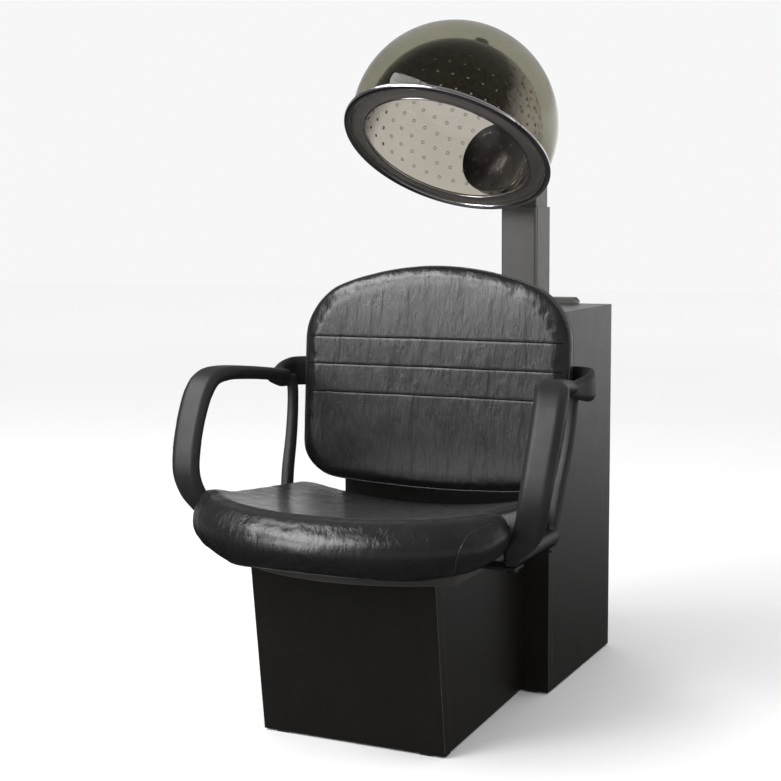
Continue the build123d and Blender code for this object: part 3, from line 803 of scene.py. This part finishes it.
def arm_parts():
    """Knots of the sitter's left arm: front limb with rest, ear, rear limb and bar."""
    def at(x, y, z):
        return (x, base_y + y, z)

    rest = [(at(0.264, 0.048, 0.331), 0.028, 0.022), (at(0.277, 0.038, 0.350), 0.038, 0.024),
            (at(0.297, 0.026, 0.372), 0.046, 0.024), (at(0.3115, 0.010, 0.400), 0.050, 0.023),
            (at(0.319, 0.002, 0.430), 0.052, 0.022), (at(0.3225, 0.005, 0.460), 0.053, 0.022),
            (at(0.325, 0.0175, 0.500), 0.054, 0.022), (at(0.326, 0.035, 0.540), 0.055, 0.023),
            (at(0.325, 0.054, 0.573), 0.056, 0.025), (at(0.3205, 0.076, 0.594), 0.056, 0.026),
            (at(0.309, 0.108, 0.601), 0.052, 0.025), (at(0.298, 0.165, 0.597), 0.046, 0.024),
            (at(0.289, 0.230, 0.589), 0.036, 0.023), (at(0.285, 0.290, 0.581), 0.024, 0.022)]
    ear = [(at(0.289, 0.245, 0.5805), 0.020, 0.016), (at(0.2965, 0.278, 0.580), 0.036, 0.018),
           (at(0.3035, 0.308, 0.580), 0.048, 0.0185), (at(0.298, 0.342, 0.583), 0.055, 0.017),
           (at(0.272, 0.3645, 0.583), 0.056, 0.014), (at(0.246, 0.372, 0.583), 0.054, 0.011),
           (at(0.222, 0.3745, 0.582), 0.048, 0.011)]
    rear = [(at(0.281, 0.298, 0.580), 0.021, 0.022), (at(0.278, 0.303, 0.556), 0.019, 0.021),
            (at(0.2755, 0.297, 0.510), 0.020, 0.020), (at(0.272, 0.283, 0.460), 0.021, 0.021),
            (at(0.268, 0.264, 0.410), 0.022, 0.022), (at(0.264, 0.250, 0.360), 0.022, 0.023),
            (at(0.264, 0.244, 0.326), 0.022, 0.026)]
    bar = [(at(0.264, 0.250, 0.329), 0.022, 0.024), (at(0.264, 0.200, 0.329), 0.022, 0.024),
           (at(0.264, 0.120, 0.329), 0.022, 0.024), (at(0.264, 0.042, 0.329), 0.024, 0.024)]
    return ((rest, (1, 0, 0)), (ear, (0, 0, 1)), (rear, (1, 0, 0)), (bar, (1, 0, 0)))


def build_arm(node, mirror, skin):
    merged = bmesh.new()
    for knots, across in arm_parts():
        part = rings_object("arm_part", band(knots, across))
        merged.from_mesh(part.data)
        bpy.data.objects.remove(part)
    if mirror < 0:
        bmesh.ops.transform(merged, matrix=Matrix.Diagonal((-1, 1, 1, 1)), verts=merged.verts)
    bmesh.ops.recalc_face_normals(merged, faces=merged.faces)
    mesh = bpy.data.meshes.new(node + "_moulded")
    merged.to_mesh(mesh)
    merged.free()
    arm = bpy.data.objects.new(node + "_moulded", mesh)
    bpy.context.scene.collection.objects.link(arm)
    remesh(arm, ARM_VOXEL)
    relax(arm, 0.5, ARM_ROUNDS)
    points = get_points(arm)
    points[:, 2] = np.maximum(points[:, 2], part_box(node)[0].z + 0.0002)
    set_points(arm, points)
    arm.data.materials.append(skin)
    finish_piece(arm, "chair")
    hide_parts(node)


# ---------------------------------------------------------------- hood details

def hood_frame():
    """The hood's own axes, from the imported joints: origin at the rim's centre, z up the dome."""
    joints = {j["name"]: j for j in frame["joints"]}
    across = -Vector(joints["hood_tilt"]["axis"])
    blower = Vector(joints["fan_spin"]["axis"])
    rise = math.radians(BLOWER_ANGLE)
    side = across.cross(blower).normalized()
    crown = (blower * math.sin(rise) + side * math.cos(rise)).normalized()
    back = crown.cross(across).normalized()
    center = Vector(joints["fan_spin"]["pos_m"]) - blower * BLOWER_REACH
    origin = center - crown * SHELL_RISE
    return origin, across, back, crown


def hood_point(local):
    origin, across, back, crown = HOOD
    return origin + across * local[0] + back * local[1] + crown * local[2]


def torus_points(middle, out, radius, tube, around, sides):
    """Points of a small ring round a direction."""
    u = out.orthogonal().normalized()
    v = out.cross(u)
    for a in range(around):
        t = 2 * math.pi * a / around
        spoke = u * math.cos(t) + v * math.sin(t)
        for b in range(sides):
            w = 2 * math.pi * b / sides
            yield middle + spoke * (radius + tube * math.cos(w)) + out * (tube * math.sin(w))


BOWL_RADIUS, BOWL_WALL, HOLE_PITCH, HOLE_ROWS = 0.171, 0.002, 0.0286, 10
RIM_RADIUS, RIM_TUBE = 0.0029, 0.0006
SHELL_RISE, BLOWER_REACH, BLOWER_ANGLE = 0.047, 0.170, 14.0


def hole_shade_rings(material):
    """A fine dark ring round each air hole, on the bowl's inner face: painted shade for the darkening at each
    hole's edge.
    """
    centre = Vector((0, 0, SHELL_RISE))
    around, sides = 14, 6
    verts, faces = [], []
    for row in range(1, HOLE_ROWS + 1):
        polar = row * HOLE_PITCH / BOWL_RADIUS
        count = round(2 * math.pi * BOWL_RADIUS * math.sin(polar) / HOLE_PITCH)
        for i in range(count):
            turn = 2 * math.pi * (i + 0.5 * (row % 2)) / count
            out = Vector((math.sin(polar) * math.cos(turn), math.sin(polar) * math.sin(turn), math.cos(polar)))
            first = len(verts)
            middle = out * (BOWL_RADIUS - BOWL_WALL) + centre
            for spot in torus_points(middle, out, RIM_RADIUS, RIM_TUBE, around, sides):
                verts.append(hood_point(spot))
            for a in range(around):
                for b in range(sides):
                    c = (a + 1) % around * sides
                    d = (b + 1) % sides
                    faces.append((first + a * sides + b, first + c + b, first + c + d, first + a * sides + d))
    rims = mesh_object("bowl_hole_shade_rings", verts, faces)
    rims.data.materials.append(material)
    finish_piece(rims, "hood")


LATHE_STEPS = 200


def lathe(name, profile):
    """A ring about the hood's own axis from a closed (radius, height) profile."""
    verts, faces = [], []
    count = len(profile)
    for t in np.linspace(0, 2 * math.pi, LATHE_STEPS, endpoint=False):
        for r, z in profile:
            verts.append(hood_point((r * math.cos(t), r * math.sin(t), z)))
    for i in range(LATHE_STEPS):
        k = (i + 1) % LATHE_STEPS
        for a in range(count):
            b = (a + 1) % count
            faces.append((i * count + a, i * count + b, k * count + b, k * count + a))
    return mesh_object(name, verts, faces)


def collar_profile():
    """A shallow channel between the bowl's edge and the chrome bead."""
    inner, outer, sag, wall = 0.1632, 0.1952, 0.0075, 0.0022
    below = []
    above = []
    for t in np.linspace(0, 1, 15):
        r = inner + (outer - inner) * t
        rise = sag * math.sin(math.pi * t)**0.8 - 0.001
        below.append((r, rise))
        above.append((r, rise + wall))
    return below + above[::-1]


def bead_profile():
    """A fine round bead on the bowl's edge."""
    middle, drop, radius = 0.1642, 0.0012, 0.0017
    return [(middle + radius * math.cos(a), radius * math.sin(a) - drop)
            for a in np.linspace(0, 2 * math.pi, 12, endpoint=False)]


HOOD = hood_frame()


# ---------------------------------------------------------------- assembly

def finish_piece(obj, body):
    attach(obj, body)


def dress_nodes(materials):
    """Give every CAD node that stays its material."""
    for entry in frame["record"]["subparts"]:
        name = entry["node"]
        material = materials.get(name) or materials[entry["material_slot"]]
        obj = nodes[name]
        obj.data.materials.clear()
        obj.data.materials.append(material)


FLOOR_SIZE = 30
LIGHTS = (("key", (-2.0, -3.3, 1.85), (0, 0, 0.7), (1.7, 1.5), 60),
          ("top", (-1.7, -2.1, 3.1), (0, -0.4, 0.4), (3.2, 1.0), 95),
          ("side", (2.6, 0.6, 1.9), (0, 0, 0.7), (1.2, 1.2), 4))


def add_stage():
    bpy.ops.mesh.primitive_plane_add(size=FLOOR_SIZE)
    floor = bpy.context.object
    floor.name = "floor"
    floor.data.materials.append(floor_paint())
    floor.visible_glossy = False


def add_light(name, place, target, size, power):
    data = bpy.data.lights.new(name, "AREA")
    data.shape = "RECTANGLE"
    data.size, data.size_y = size
    data.energy = power
    light = bpy.data.objects.new(name, data)
    light.location = place
    light.rotation_euler = (Vector(target) - Vector(place)).to_track_quat("-Z", "Y").to_euler()
    bpy.context.scene.collection.objects.link(light)


def world_ramp(tree, source, start, end, low, high):
    made = tree.nodes.new("ShaderNodeMapRange")
    made.interpolation_type = "SMOOTHSTEP"
    tree.links.new(source, made.inputs["Value"])
    for socket, value in (("From Min", start), ("From Max", end), ("To Min", low), ("To Max", high)):
        made.inputs[socket].default_value = value
    return made.outputs["Result"]


def product(tree, first, second):
    made = tree.nodes.new("ShaderNodeMath")
    made.operation = "MULTIPLY"
    tree.links.new(first, made.inputs[0])
    tree.links.new(second, made.inputs[1])
    return made.outputs["Value"]


SEEN, THROUGH = 0.93, 0.95      # the backdrop's strength, seen directly and through clear plastic


def add_world():
    """A pale studio: bright walls all round and dark below the horizon, dimmer in reflections."""
    world = bpy.data.worlds.new("studio")
    world.use_nodes = True
    tree = world.node_tree
    background = tree.nodes["Background"]
    coords = tree.nodes.new("ShaderNodeTexCoord").outputs["Generated"]
    split = tree.nodes.new("ShaderNodeSeparateXYZ")
    tree.links.new(coords, split.inputs[0])
    low = world_ramp(tree, split.outputs["Z"], -0.27, 0.0, 0.03, 1.0)
    high = world_ramp(tree, split.outputs["Z"], 0.08, 0.24, 1.0, 0.28)
    rear = world_ramp(tree, split.outputs["Y"], -0.3, 0.4, 0.3, 1.05)
    right = world_ramp(tree, split.outputs["X"], -0.85, -0.5, 0.2, 1.0)
    mirrored_view = product(tree, product(tree, low, high), product(tree, rear, right))
    path = tree.nodes.new("ShaderNodeLightPath")
    by_kind = low
    strengths = (("Is Glossy Ray", mirrored_view), ("Is Transmission Ray", THROUGH), ("Is Camera Ray", SEEN))
    for kind, value in strengths:
        mix = tree.nodes.new("ShaderNodeMix")
        tree.links.new(path.outputs[kind], mix.inputs["Factor"])
        tree.links.new(by_kind, mix.inputs["A"])
        if isinstance(value, float):
            mix.inputs["B"].default_value = value
        else:
            tree.links.new(value, mix.inputs["B"])
        by_kind = mix.outputs["Result"]
    tree.links.new(by_kind, background.inputs["Strength"])
    background.inputs["Color"].default_value = (1, 1, 1, 1)
    bpy.context.scene.world = world


def main():
    skin = vinyl()
    seam = thread()
    arm_skin = urethane()
    black = moulded("moulded_black", (0.012, 0.012, 0.012))
    collar = gloss_black("collar_gloss", (0.06, 0.055, 0.05), 0.12)
    steel = dark_steel()
    materials = {
        "laminate": laminate(), "raw_wood": plain_board(), "seat_board": dark_board(),
        "glide_plastic": black, "steel_zinc": zinc(), "vinyl": skin, "back_shell": black,
        "urethane": arm_skin, "post_paint": post_paint(), "knob_plastic": black,
        "smoke_acrylic": dome_plastic(), "bowl_acrylic": bowl_plastic(), "arm_bolts": steel,
        "arm_crossbars": steel, "chrome_trim": chrome(), "collar_plastic": collar,
        "gloss_black": moulded("blower_cover_satin", (0.004, 0.004, 0.004), 0.36),
        "housing_plastic": black, "motor_steel": zinc(), "heater_wire": hot_wire(), "heater_mica": mica(),
    }
    dress_nodes(materials)
    build_seat(skin, seam)
    build_back(skin, seam, shaded_seam_thread())
    build_arm("arm_left", 1, arm_skin)
    build_arm("arm_right", -1, arm_skin)
    # dark rings round the holes: painted shade for the darkening at the hole edges
    hole_shade_rings(gloss_black("hole_shade_ring", (0.02, 0.018, 0.017), 0.3))
    channel = lathe("rim_channel", collar_profile())
    channel.data.materials.append(collar)
    finish_piece(channel, "hood")
    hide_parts("rim_collar")
    edge = lathe("bowl_edge_bead", bead_profile())
    edge.data.materials.append(chrome())
    finish_piece(edge, "hood")


scene = bpy.context.scene
scene.view_settings.view_transform = "Standard"
add_camera()
add_world()
add_stage()
for lamp in LIGHTS:
    add_light(*lamp)
main()
